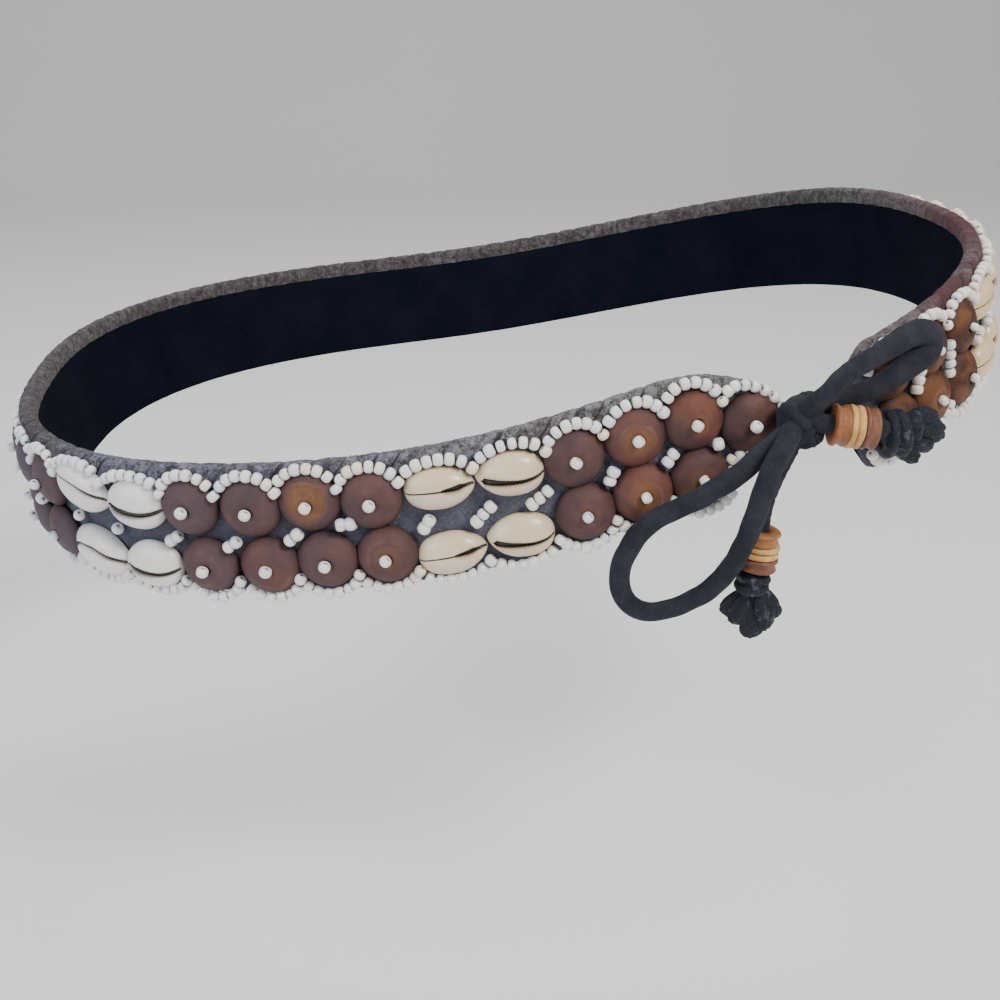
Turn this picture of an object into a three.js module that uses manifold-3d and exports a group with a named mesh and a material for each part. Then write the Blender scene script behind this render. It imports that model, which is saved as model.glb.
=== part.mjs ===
// A waist belt of sewn cowrie shells and domed wooden discs on a cloth band,
// closed at the front by a soft black cord tied in a bow.
// Units are millimetres, +Z is up, and the origin is the middle of the waist loop.
import * as THREE from "three";
import { mergeVertices } from "three/addons/utils/BufferGeometryUtils.js";
import Module from "manifold-3d";

// Waist loop: the outer face of the band, seen from above
const halfWidth = 143.5;
const halfDepthFront = 96.7;
const halfDepthBack = 123.6;
const squareness = 2.57;
// The loop sits higher on its right side, and it waves and dips as cloth on a waist does
const wornTiltDegrees = 10.1;
const waveEnds = 6.5;
const waveTwist = -3.7;
const knotDegrees = -55.8;
const dipDepth = 12.1;
const dipLeftDegrees = 9.3;
const dipRightDegrees = 49;

// Band and lining
const bandTop = 18.2;
const bandBottom = -17.5;
const bandThickness = 2.6;
const rimRounding = 1.2;
const bandSteps = 80;
const liningThickness = 0.8;
const liningInset = 0.9;
const seamGap = 0.3;
// The first disc panel begins this far along the loop from the front middle
const frontEnd = 57.6;
// The band runs on past its first and last discs
const marginLeft = 2;
const marginRight = 0.8;
// The lower corner at the front end is cut off on a slant: where the slant begins, and its slope
const slantStart = 18.5;
const slantSlope = 0.95;

// Discs and shells along the band
const discGroups = 9;
const discColumns = 4;
// The last panel, to the right of the knot, is one column short
const lastColumns = 3;
const discPitch = 15;
const discRowHeight = 7.55;
const discRadius = 7.85;
const discHeight = 4.8;
const discSides = 12;
const shellGroupLength = 36.2;
const shellPitch = 17.5;
const shellRowTop = 8.0;
const shellRowBottom = -8.9;
// Each group of four shells is sewn on a little askew
const shellLeanDegrees = [-9, -2, 3, -4, 2, -3, 4, -2];
// A shell's rings: place along it, half width, height
const shellRings = [
  [-7.5, 2.7, 2.7],
  [-4.6, 4.8, 4.4],
  [0, 5.65, 5.2],
  [4.6, 4.9, 4.6],
  [7.5, 2.8, 2.9],
];
const shellHalfLength = 8.5;
const shellTipHeight = 1.2;
// A shell's cross-section: share of the half width, share of the height
const shellSection = [
  [1, 0],
  [0.93, 0.45],
  [0.6, 0.86],
  [0, 1],
  [-0.6, 0.86],
  [-0.93, 0.45],
  [-1, 0],
];

// Tie cord, its beads and knots
const loopCordRadius = 2.7;
const tailCordRadius = 2.4;
const cordSides = 8;
const toggleRadius = 5.3;
const toggleHole = 2.85;
const toggleLength = 3.35;
const togglePitch = 3.65;
const toggleSides = 12;
const knotCentre = [59.1, -101.2, 9.7];
const knotSize = [5.2, 4.6, 7.6];
const lobeRadius = 2.2;

const wasm = await Module();
wasm.setup();

// The closed line that the band's outer face follows, counterclockwise from the front middle
class WaistLoop extends THREE.Curve {
  getPoint(t, target = new THREE.Vector3()) {
    const angle = (t - 0.25) * 2 * Math.PI;
    const x = Math.cos(angle);
    const y = Math.sin(angle);
    const depth = y < 0 ? halfDepthFront : halfDepthBack;
    const sum = Math.abs(x / halfWidth) ** squareness + Math.abs(y / depth) ** squareness;
    const radius = sum ** (-1 / squareness);
    const turn = angle - THREE.MathUtils.degToRad(knotDegrees);
    const offset = THREE.MathUtils.radToDeg(Math.atan2(Math.sin(turn), Math.cos(turn)));
    const spread = offset < 0 ? dipLeftDegrees : dipRightDegrees;
    const wave = waveEnds * Math.cos(2 * angle) + waveTwist * Math.sin(2 * angle);
    const dip = dipDepth * Math.exp(-((offset / spread) ** 2));
    return target.set(radius * x, radius * y, wave - dip);
  }
}
const loop = new WaistLoop();
loop.arcLengthDivisions = 1600;
const loopLength = loop.getLength();
const period = discColumns * discPitch + shellGroupLength;
const discsLength = (discGroups - 1) * period + lastColumns * discPitch;

// Axes on the band at a distance from its front end: along the band, up, and out of its face
function frameAt(distance, followSlope) {
  const place = (frontEnd - distance) / loopLength;
  const share = place - Math.floor(place);
  const along = loop.getTangentAt(share);
  const out = new THREE.Vector3(along.y, -along.x, 0).normalize();
  if (!followSlope) along.setZ(0).normalize();
  const up = new THREE.Vector3().crossVectors(out, along);
  return { origin: loop.getPointAt(share), along, up, out };
}

// A matrix that stands a piece on the band's face at a distance and a height
function seat(distance, height, followSlope) {
  const { origin, along, up, out } = frameAt(distance, followSlope);
  origin.z += height;
  origin.addScaledVector(out, seamGap);
  return new THREE.Matrix4().makeBasis(along, up, out).setPosition(origin);
}

// A closed skin over rings of points, with each end closed by a fan to its tip
function skin(rings, firstTip, lastTip) {
  const count = rings[0].length;
  const points = rings.flat().concat(firstTip, lastTip);
  const first = rings.length * count;
  const index = [];
  for (let i = 0; i < rings.length - 1; i += 1) {
    for (let j = 0; j < count; j += 1) {
      const a = i * count + j;
      const b = i * count + ((j + 1) % count);
      index.push(a, b, b + count, a, b + count, a + count);
    }
  }
  for (let j = 0; j < count; j += 1) {
    const next = (j + 1) % count;
    index.push(first, next, j);
    index.push(first + 1, first - count + j, first - count + next);
  }
  const geometry = new THREE.BufferGeometry().setFromPoints(points);
  geometry.setIndex(index);
  geometry.computeVertexNormals();
  return geometry;
}

function middleOf(ring) {
  const sum = ring.reduce((total, point) => total.add(point), new THREE.Vector3());
  return sum.divideScalar(ring.length);
}

// A strip that runs the length of the band: its section is a list of (out, height) points,
// and the points below the middle rise with the slant
function strip(section) {
  const rings = [];
  for (let i = 0; i <= bandSteps; i += 1) {
    const share = i / bandSteps;
    const distance = share * (discsLength + marginLeft + marginRight) - marginLeft;
    const { origin, out } = frameAt(distance, false);
    const rise = Math.max(0, slantStart - distance) * slantSlope;
    rings.push(
      section.map(([away, height]) => {
        const point = origin.clone().addScaledVector(out, away);
        point.z += height < 0 ? height + rise : height;
        return point;
      }),
    );
  }
  return skin(rings, middleOf(rings[0]), middleOf(rings[bandSteps]));
}

function toSolid(geometry) {
  const bare = geometry.clone();
  bare.deleteAttribute("normal");
  bare.deleteAttribute("uv");
  const merged = mergeVertices(bare, 1e-4);
  return new wasm.Manifold(
    new wasm.Mesh({
      numProp: 3,
      vertProperties: new Float32Array(merged.attributes.position.array),
      triVerts: new Uint32Array(merged.index.array),
    }),
  );
}

// Several closed geometries joined into one
function fuse(geometries) {
  const solid = geometries.map(toSolid).reduce((whole, piece) => whole.add(piece));
  const mesh = solid.getMesh();
  const geometry = new THREE.BufferGeometry();
  geometry.setAttribute("position", new THREE.BufferAttribute(mesh.vertProperties, 3));
  geometry.setIndex(new THREE.BufferAttribute(mesh.triVerts, 1));
  geometry.computeVertexNormals();
  return geometry;
}

function plain(color, roughness) {
  return new THREE.MeshStandardMaterial({ color, roughness, metalness: 0 });
}
const bandCloth = plain(0x5d6069, 0.95);
const liningCloth = plain(0x16171f, 0.95);
const brownWood = plain(0x5e4340, 0.6);
const tanWood = plain(0xb07a45, 0.6);
const shellCream = plain(0xe3dac8, 0.35);
const blackCord = plain(0x14151c, 0.95);

const belt = new THREE.Group();
const worn = new THREE.Group();
worn.rotation.y = THREE.MathUtils.degToRad(-wornTiltDegrees);
belt.add(worn);

function addPiece(group, name, geometry, material) {
  const mesh = new THREE.Mesh(geometry, material);
  mesh.name = name;
  group.add(mesh);
  return mesh;
}

// Band with rounded rims, and the lining behind it
const back = -bandThickness;
const bandSection = [
  [0, bandBottom + rimRounding],
  [0, bandTop - rimRounding],
  [back / 2, bandTop],
  [back, bandTop - rimRounding],
  [back, bandBottom + rimRounding],
  [back / 2, bandBottom],
];
addPiece(worn, "band", strip(bandSection), bandCloth);
const liningFront = back - seamGap;
const liningBack = liningFront - liningThickness;
const liningSection = [
  [liningFront, bandBottom + liningInset],
  [liningFront, bandTop - liningInset],
  [liningBack, bandTop - liningInset],
  [liningBack, bandBottom + liningInset],
];
addPiece(worn, "lining", strip(liningSection), liningCloth);

// Domed discs in panels of four columns and two rows, each disc touching the next.
// There is no room for a lower disc over the slant, so the first column holds the upper one only
const discProfile = [
  new THREE.Vector2(0, 0),
  new THREE.Vector2(discRadius, discHeight * 0.2),
  new THREE.Vector2(discRadius * 0.72, discHeight * 0.82),
  new THREE.Vector2(0, discHeight),
];
function disc(distance, height) {
  const geometry = new THREE.LatheGeometry(discProfile, discSides);
  geometry.rotateX(Math.PI / 2);
  return geometry.applyMatrix4(seat(distance, height, false));
}
for (let group = 0; group < discGroups; group += 1) {
  const discs = [];
  const columns = group < discGroups - 1 ? discColumns : lastColumns;
  for (let column = 0; column < columns; column += 1) {
    const distance = group * period + (column + 0.5) * discPitch;
    discs.push(disc(distance, discRowHeight));
    if (distance > discPitch) discs.push(disc(distance, -discRowHeight));
  }
  addPiece(worn, `disc_panel_${group + 1}`, fuse(discs), brownWood);
}

// Cowrie shells, mouth outward, two columns of two between the disc panels
const shellGeometry = skin(
  shellRings.map(([x, width, height]) =>
    shellSection.map(([side, rise]) => new THREE.Vector3(x, side * width, rise * height)),
  ),
  new THREE.Vector3(-shellHalfLength, 0, shellTipHeight),
  new THREE.Vector3(shellHalfLength, 0, shellTipHeight),
);
for (let group = 0; group < discGroups - 1; group += 1) {
  const start = group * period + discColumns * discPitch + (shellGroupLength - shellPitch) / 2;
  for (let number = 0; number < 4; number += 1) {
    const distance = start + Math.floor(number / 2) * shellPitch;
    const height = number % 2 === 0 ? shellRowTop : shellRowBottom;
    const shell = addPiece(worn, `cowrie_${group * 4 + number + 1}`, shellGeometry, shellCream);
    seat(distance, height, true).decompose(shell.position, shell.quaternion, shell.scale);
    shell.rotateZ(THREE.MathUtils.degToRad(shellLeanDegrees[group]));
  }
}

// A round cord along a smooth line through its points
function cord(points, radius, steps) {
  const path = new THREE.CatmullRomCurve3(points.map((point) => new THREE.Vector3(...point)));
  const corners = [];
  for (let i = 0; i < cordSides; i += 1) {
    const angle = (i / cordSides) * 2 * Math.PI;
    corners.push(new THREE.Vector2(radius * Math.cos(angle), radius * Math.sin(angle)));
  }
  return new THREE.ExtrudeGeometry(new THREE.Shape(corners), { extrudePath: path, steps });
}

// Centre-line points of the bow: the loop that hangs below the band, the loop that lies on it,
// the tail that hangs and the tail that lies to the right
const lowerLoopPoints = [
  [51.0, -104.0, 4.2],
  [48.0, -104.6, 2.3],
  [44.4, -105.2, -1.2],
  [39.4, -105.3, -4.4],
  [34.4, -105.4, -7.4],
  [28.8, -105.4, -9.9],
  [23.9, -105.0, -12.4],
  [20.2, -104.1, -16.0],
  [17.6, -102.6, -21.2],
  [16.0, -101.6, -26.6],
  [16.1, -100.9, -32.2],
  [17.8, -100.6, -36.6],
  [20.9, -100.6, -39.5],
  [25.2, -100.7, -40.6],
  [29.9, -101.2, -39.6],
  [34.6, -101.8, -37.3],
  [38.8, -102.9, -34.2],
  [41.9, -105.1, -29.1],
  [43.7, -107.4, -23.7],
  [45.2, -109.2, -18.1],
  [46.1, -110.3, -13.4],
  [47.1, -110.7, -8.8],
  [48.3, -110.7, -3.8],
  [50.0, -110.2, 0.9],
];
const upperLoopPoints = [
  [63.2, -106.6, 18.2],
  [66.4, -104.8, 20.6],
  [71.4, -101.2, 22.4],
  [77.9, -97.8, 24.4],
  [83.2, -95.6, 26.5],
  [87.0, -94.0, 27.9],
  [90.4, -92.6, 28.8],
  [94.3, -91.1, 28.3],
  [96.6, -90.2, 25.6],
  [95.0, -91.1, 22.9],
  [91.0, -92.9, 21.3],
  [87.1, -94.5, 19.7],
  [83.6, -95.8, 18.0],
  [79.2, -97.0, 16.4],
  [74.2, -98.4, 15.2],
  [69.6, -99.4, 14.6],
];
const lowerTailPoints = [
  [56.3, -102.0, 1.1],
  [55.4, -102.2, -0.8],
  [53.9, -102.5, -4.0],
  [52.4, -102.5, -8.4],
  [51.7, -102.2, -12.8],
  [51.5, -101.8, -16.8],
  [51.5, -101.7, -20.0],
  [51.5, -101.7, -24.1],
  [51.5, -101.7, -28.6],
];
const rightTailPoints = [
  [64.9, -104.4, 10.0],
  [67.9, -104.6, 9.7],
  [71.5, -105.0, 9.3],
  [75.1, -105.4, 8.9],
  [78.2, -105.7, 8.6],
];
addPiece(belt, "tie_loop_lower", cord(lowerLoopPoints, loopCordRadius, 36), blackCord);
addPiece(belt, "tie_loop_upper", cord(upperLoopPoints, loopCordRadius, 28), blackCord);
addPiece(belt, "tie_tail_lower", cord(lowerTailPoints, tailCordRadius, 8), blackCord);
addPiece(belt, "tie_tail_right", cord(rightTailPoints, tailCordRadius, 6), blackCord);

// A rounded lump of cord, with its middle at a point
function lump(centre, size) {
  const geometry = new THREE.SphereGeometry(1, 10, 7);
  geometry.scale(...size);
  return geometry.translate(...centre);
}

// The knot of the bow, with the two short ends of cord that come from the ends of the band
const rootRadius = 1.9;
const leftRoot = [[60.6, -91.6, 1.2], [62.2, -93.2, 4.4], [61.4, -98, 8.2]];
const rightRoot = [[79.6, -86.6, 5.7], [76, -88.7, 7.2], [69, -93.2, 8.8], [62, -98.6, 9.6]];
const knotPieces = [
  lump(knotCentre, knotSize),
  cord(leftRoot, rootRadius, 3),
  cord(rightRoot, rootRadius, 3),
];
addPiece(belt, "tie_knot", fuse(knotPieces), blackCord);

// Three ring beads on each tail, square to the cord
function toggle(centre, direction) {
  const half = toggleLength / 2;
  const profile = [
    new THREE.Vector2(toggleHole, -half),
    new THREE.Vector2(toggleRadius - 0.4, -half),
    new THREE.Vector2(toggleRadius, 0),
    new THREE.Vector2(toggleRadius - 0.4, half),
    new THREE.Vector2(toggleHole, half),
    new THREE.Vector2(toggleHole, -half),
  ];
  const geometry = new THREE.LatheGeometry(profile, toggleSides);
  const turn = new THREE.Quaternion().setFromUnitVectors(new THREE.Vector3(0, 1, 0), direction);
  return geometry.applyQuaternion(turn).translate(centre.x, centre.y, centre.z);
}
function addToggles(name, start, end) {
  const first = new THREE.Vector3(...start);
  const direction = new THREE.Vector3(...end).sub(first).normalize();
  [brownWood, tanWood, brownWood].forEach((wood, i) => {
    const centre = first.clone().addScaledVector(direction, i * togglePitch);
    addPiece(belt, `${name}_${i + 1}`, toggle(centre, direction), wood);
  });
}
addToggles("toggle_lower", [51.5, -101.7, -19.8], [51.5, -101.7, -27.1]);
addToggles("toggle_right", [67.9, -104.6, 9.7], [75.1, -105.4, 8.9]);

// The knot at the end of a tail, wider across the cord than along it, with the crumpled lobes
// that stand out below it
function tailKnot(centre, size, lobeEnds) {
  const middle = new THREE.Vector3(...centre);
  const pieces = [lump(centre, size)];
  lobeEnds.forEach((end) => {
    const tip = new THREE.Vector3(...end);
    const direction = tip.clone().sub(middle);
    const length = direction.length();
    const lobe = new THREE.CylinderGeometry(lobeRadius, lobeRadius * 0.8, length, 6);
    const up = new THREE.Vector3(0, 1, 0);
    lobe.applyQuaternion(new THREE.Quaternion().setFromUnitVectors(up, direction.normalize()));
    const half = middle.clone().add(tip).multiplyScalar(0.5);
    pieces.push(lobe.translate(half.x, half.y, half.z));
  });
  return fuse(pieces);
}
const lowerLobes = [
  [47.4, -101.0, -39.6],
  [50.2, -100.5, -43.6],
  [53.7, -100.2, -44.4],
  [57.2, -100.4, -40.4],
];
const rightLobes = [
  [95.6, -98.4, 7.2],
  [96.8, -98.0, 3.2],
  [93.4, -99.2, 0.4],
  [88.4, -100.6, -0.6],
];
const lowerTailKnot = tailKnot([52.3, -101.7, -32.6], [4.8, 3.9, 3.3], lowerLobes);
const rightTailKnot = tailKnot([82.2, -104.2, 7.6], [3.3, 3.9, 4.8], rightLobes);
addPiece(belt, "tail_knot_lower", lowerTailKnot, blackCord);
addPiece(belt, "tail_knot_right", rightTailKnot, blackCord);

export default belt;
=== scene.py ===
import math
import random

import bpy
import numpy as np
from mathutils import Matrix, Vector


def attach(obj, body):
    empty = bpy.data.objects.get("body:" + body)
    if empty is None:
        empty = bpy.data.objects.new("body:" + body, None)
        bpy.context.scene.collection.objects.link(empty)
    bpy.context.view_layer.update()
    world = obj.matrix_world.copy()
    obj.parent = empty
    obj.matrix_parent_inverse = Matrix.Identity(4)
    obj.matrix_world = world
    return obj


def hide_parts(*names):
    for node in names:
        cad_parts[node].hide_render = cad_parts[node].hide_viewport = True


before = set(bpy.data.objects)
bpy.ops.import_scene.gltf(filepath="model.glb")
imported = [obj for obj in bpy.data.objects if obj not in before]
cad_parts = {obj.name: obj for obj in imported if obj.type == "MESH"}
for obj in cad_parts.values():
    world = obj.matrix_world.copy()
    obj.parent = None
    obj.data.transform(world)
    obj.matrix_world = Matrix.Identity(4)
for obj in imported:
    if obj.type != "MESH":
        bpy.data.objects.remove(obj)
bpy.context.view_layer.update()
random.seed(21)
print("frame loaded")

# sizes are in millimetres until addMesh turns them into metres
belt = dict(
    halfWidth=143.5, depthFront=96.7, depthBack=123.6, squareness=2.57, wornTilt=10.1, waveEnds=6.5,
    waveTwist=-3.7, knotAngle=-55.8, dipDepth=12.1, dipLeft=9.3, dipRight=49.0, frontEnd=57.6, discPitch=15.0,
    discGroups=9, discColumns=4, shellGroup=36.2, shellPitch=17.5, discRow=7.55, shellTop=8.0,
    shellBottom=-8.9, lastColumns=3, marginLeft=2.0, marginRight=0.8, slantStart=21.0, slantSlope=0.95,
    cornerRound=6.0, cornerDrop=3.0, endRound=6.0, shellLean=[-9, -2, 3, -4, 2, -3, 4, -2],
)
panels, columns, pitch = belt["discGroups"], belt["discColumns"], belt["discPitch"]
period = columns * pitch + belt["shellGroup"]
discsLength = (panels - 1) * period + belt["lastColumns"] * pitch
bandStart, bandEnd = -belt["marginLeft"], discsLength + belt["marginRight"]
bandLength = bandEnd - bandStart


def columnsOf(group):
    return columns if group < panels - 1 else belt["lastColumns"]


# how far the corners lift the band's lower edge, and how far they drop its upper edge
def slantRise(distance):
    rounded = 1 - np.sqrt(1 - np.clip((distance - bandEnd) / belt["endRound"] + 1, 0, 1) ** 2)
    return np.maximum(0, belt["slantStart"] - distance) * belt["slantSlope"] + belt["endRound"] * rounded


def cornerDrop(distance):
    inward = np.minimum(distance - bandStart, bandEnd - distance)
    return belt["cornerDrop"] * np.clip(1 - inward / belt["cornerRound"], 0, 1) ** 2


# how far along a line each of its points lies
def lengthsAlong(points):
    return np.concatenate([[0], np.cumsum(np.linalg.norm(np.diff(points, axis=0), axis=1))])


def ringAngles(sides):
    return np.arange(sides) / sides * 2 * np.pi


# the line of the band
def waistLine(steps=3600):
    angle = np.radians(np.linspace(-90, 270, steps + 1))
    c, s = np.cos(angle), np.sin(angle)
    depth = np.where(s < 0, belt["depthFront"], belt["depthBack"])
    n = belt["squareness"]
    r = (np.abs(c / belt["halfWidth"]) ** n + np.abs(s / depth) ** n) ** (-1 / n)
    turn = np.degrees(np.mod(angle - math.radians(belt["knotAngle"]) + np.pi, 2 * np.pi) - np.pi)
    spread = np.where(turn < 0, belt["dipLeft"], belt["dipRight"])
    z = belt["waveEnds"] * np.cos(2 * angle) + belt["waveTwist"] * np.sin(2 * angle)
    z = z - belt["dipDepth"] * np.exp(-((turn / spread) ** 2))
    points = np.stack([r * c, r * s, z], 1)
    return points, lengthsAlong(points)


linePoints, lineLengths = waistLine()
loopLength = lineLengths[-1]


# axes turned in their own plane, and axes leaned to the side
def turned(angle):
    c, s = math.cos(angle), math.sin(angle)
    return np.array([[c, s, 0], [-s, c, 0], [0, 0, 1]])


def leaned(angle):
    c, s = math.cos(angle), math.sin(angle)
    return np.array([[c, 0, s], [0, 1, 0], [-s, 0, c]])


tiltMatrix = leaned(-math.radians(belt["wornTilt"]))


def onLine(s):
    s = np.mod(s, loopLength)
    return np.stack([np.interp(s, lineLengths, linePoints[:, k]) for k in range(3)], -1)


# axes at a distance from the front end: along (to the viewer's right), up, out
def bandAxes(distance, slope=False):
    s = belt["frontEnd"] - np.asarray(distance, float)
    origin = onLine(s)
    along = onLine(s + 0.8) - onLine(s - 0.8)
    out = np.stack([along[..., 1], -along[..., 0], np.zeros_like(along[..., 0])], -1)
    out /= np.linalg.norm(out, axis=-1)[..., None]
    if not slope:
        along = along * np.array([1, 1, 0])
    along = along / np.linalg.norm(along, axis=-1)[..., None]
    return origin, along, np.cross(out, along), out


# points given as distance from the front end, height and distance out of the face
def bandPoints(distance, height, away):
    origin, along, up, out = bandAxes(distance)
    points = origin + out * np.asarray(away, float)[..., None]
    points = points + np.array([0, 0, 1.0]) * np.asarray(height, float)[..., None]
    return points @ tiltMatrix.T


# place and axes of a small piece that sits on the band, in the frame of the tilted belt
def seat(distance, height, away, slope=False):
    origin, along, up, out = bandAxes(distance, slope)
    place = origin + out * away + np.array([0, 0, height])
    axes = np.stack([along, up, out], 0)
    return place @ tiltMatrix.T, axes @ tiltMatrix.T


# mesh helpers
def gridFaces(rows, columns, closeRows=False, closeColumns=False):
    r = np.arange(rows if closeRows else rows - 1)
    c = np.arange(columns if closeColumns else columns - 1)
    r, c = (k.ravel() for k in np.meshgrid(r, c, indexing="ij"))
    r2, c2 = (r + 1) % rows, (c + 1) % columns
    return np.stack([r * columns + c, r * columns + c2, r2 * columns + c2, r2 * columns + c], 1)


# a smooth mesh in the room, made of millimetres, with a value of each fact at every point
def addMesh(name, points, faces, material, replaced=(), facts=None):
    mesh = bpy.data.meshes.new(name)
    mesh.from_pydata((np.asarray(points) * 0.001).tolist(), [], [list(map(int, f)) for f in faces])
    for fact, values in (facts or {}).items():
        if fact == "uv":
            index = np.zeros(len(mesh.loops), int)
            mesh.loops.foreach_get("vertex_index", index)
            mesh.uv_layers.new(name="UVMap").data.foreach_set("uv", values[index].ravel())
        else:
            mesh.attributes.new(fact, "FLOAT", "POINT").data.foreach_set("value", values)
    mesh.polygons.foreach_set("use_smooth", [True] * len(mesh.polygons))
    mesh.materials.append(material)
    mesh.validate()
    piece = bpy.data.objects.new(name, mesh)
    bpy.context.scene.collection.objects.link(piece)
    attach(piece, "root")
    if replaced:
        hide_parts(*replaced)
    return piece


# copies of one small shape, set down by place and axes, joined into one mesh
def stamp(points, faces, places):
    allPoints, allFaces = [], []
    for i, (place, axes, scale) in enumerate(places):
        allPoints.append((points * scale) @ axes + place)
        allFaces.append(np.asarray(faces) + i * len(points))
    return np.concatenate(allPoints), np.concatenate(allFaces)


# a turned shape from a profile of (radius, height) points; closed joins the last one to the first
def lathe(profile, sides, closed=False):
    profile = np.array(profile)
    angle = ringAngles(sides)
    x, y = profile[:, :1] * np.cos(angle), profile[:, :1] * np.sin(angle)
    points = np.stack([x, y, np.broadcast_to(profile[:, 1:], x.shape)], -1).reshape(-1, 3)
    return points, gridFaces(len(profile), sides, closed, True)[:, ::-1]


# a smooth line through points, in even steps
def smoothLine(points, step=0.8):
    p = np.asarray(points, float)
    p = np.concatenate([[2 * p[0] - p[1]], p, [2 * p[-1] - p[-2]]])
    t = np.linspace(0, 1, 24, endpoint=False)[:, None]
    line = [0.5 * (2 * b + (c - a) * t + (2 * a - 5 * b + 4 * c - d) * t**2 + (3 * b - a - 3 * c + d) * t**3)
            for a, b, c, d in zip(p, p[1:], p[2:], p[3:])]
    line = np.concatenate(line + [[p[-2]]])
    s = lengthsAlong(line)
    even = np.linspace(0, s[-1], max(4, int(s[-1] / step) + 1))
    return np.stack([np.interp(even, s, line[:, k]) for k in range(3)], 1)


# a tube along a line, closed at its ends: push(share of the line, angle) adds to its radius
def tube(line, radius, sides, push, flat=1.0, start=(0, 0, 1)):
    n = len(line)
    radius = np.broadcast_to(radius, n)
    tangents = np.gradient(line, axis=0)
    tangents /= np.linalg.norm(tangents, axis=1)[:, None]
    side = np.cross(tangents[0], start)
    rings = []
    angle = ringAngles(sides)
    for i in range(n):
        side = side - tangents[i] * (side @ tangents[i])
        side /= np.linalg.norm(side)
        r = radius[i] + push(i / (n - 1), angle)
        across = np.outer(r * np.cos(angle), side)
        rings.append(line[i] + across + np.outer(r * np.sin(angle) * flat, np.cross(tangents[i], side)))
    ends = [line[0] - tangents[0] * radius[0] * 0.4, line[-1] + tangents[-1] * radius[-1] * 0.4]
    faces = gridFaces(n, sides, closeColumns=True).tolist()
    first, last, j = n * sides, n * sides + 1, (n - 1) * sides
    for a, b in zip(range(sides), [*range(1, sides), 0]):
        faces += [[first, b, a], [last, j + a, j + b]]
    return np.concatenate(rings + [ends]), faces


def joinParts(parts):
    points, faces, start = [], [], 0
    for p, f in parts:
        points.append(p)
        faces += [[int(i) + start for i in face] for face in f]
        start += len(p)
    return np.concatenate(points), faces


# a material and short ways to build its nodes
class Finish:
    def __init__(self, name, color, roughness, **sockets):
        self.material = bpy.data.materials.new(name)
        self.material.use_nodes = True
        self.nodes = self.material.node_tree.nodes
        self.links = self.material.node_tree.links
        self.shader = self.nodes["Principled BSDF"]
        self.shader.inputs["Base Color"].default_value = (*color, 1)
        self.shader.inputs["Roughness"].default_value = roughness
        for socket, value in sockets.items():
            self.shader.inputs[socket.replace("_", " ")].default_value = value
        self.normal = None

    # a new node, set up and wired, of which one output is given back
    def node(self, kind, inputs, output=0, **settings):
        made = self.nodes.new("ShaderNode" + kind)
        for key, value in settings.items():
            setattr(made, key, value)
        for key, value in inputs.items():
            socket = made.inputs[key]
            if isinstance(value, bpy.types.NodeSocket):
                self.links.new(value, socket)
            else:
                socket.default_value = (*value, 1) if socket.type == "RGBA" else value
        return made.outputs[output]

    def facts(self, *names):
        return [self.node("Attribute", {}, "Fac", attribute_name=name) for name in names]

    def noise(self, scale, detail=3.0, rough=0.55, place=None, distortion=0.0):
        place = place or self.node("TexCoord", {}, "Object")
        inputs = {"Vector": place, "Scale": scale, "Detail": detail, "Roughness": rough}
        return self.node("TexNoise", {**inputs, "Distortion": distortion})

    # grey that goes from low to high where the source goes from a to b
    def fade(self, source, a, b, low=0.0, high=1.0):
        made = self.nodes.new("ShaderNodeValToRGB")
        self.links.new(source, made.inputs["Fac"])
        for element, place, grey in zip(made.color_ramp.elements, (a, b), (low, high)):
            element.position, element.color = place, (grey, grey, grey, 1)
        return made.outputs["Color"]

    def mix(self, share, a, b, kind="MIX"):
        return self.node("Mix", {0: share, 6: a, 7: b}, 2, data_type="RGBA", blend_type=kind)

    def both(self, a, b):
        return self.mix(1.0, a, b, "MULTIPLY")

    # the color over the base, where the source goes from a to b
    def lay(self, base, color, source, a, b, low=0.0, high=1.0):
        return self.mix(self.fade(source, a, b, low, high), base, color)

    def math(self, kind, *values):
        return self.node("Math", dict(enumerate(values)), operation=kind)

    # the source moved up and down by half the reach, by a noise
    def ragged(self, source, noise, reach):
        return self.math("ADD", source, self.math("MULTIPLY", self.math("SUBTRACT", noise, 0.5), reach))

    def paint(self, source, socket="Base Color"):
        self.links.new(source, self.shader.inputs[socket])

    def bump(self, source, strength, distance):
        inputs = {"Height": source, "Strength": strength, "Distance": distance}
        self.normal = self.node("Bump", {**inputs, "Normal": self.normal} if self.normal else inputs)
        self.paint(self.normal, "Normal")


# camera
aim = dict(place=(-48.6, -367.0, 103.4), forward=(0.1175, 0.9171, -0.3811), lens=42.99)


# the camera or a lamp, at its place and looking along a line
def setUp(name, data, place, look):
    made = bpy.data.objects.new(name, data)
    made.location = place
    made.rotation_mode = "QUATERNION"
    made.rotation_quaternion = Vector(look).to_track_quat("-Z", "Y")
    bpy.context.scene.collection.objects.link(made)
    return made


def aimCamera():
    lens = bpy.data.cameras.new("camera")
    lens.sensor_width, lens.lens, lens.clip_start, lens.clip_end = 36, aim["lens"], 0.01, 20
    place = Vector(aim["place"]) * 0.001
    bpy.context.scene.camera = setUp("camera", lens, place, aim["forward"])


aimCamera()

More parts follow.
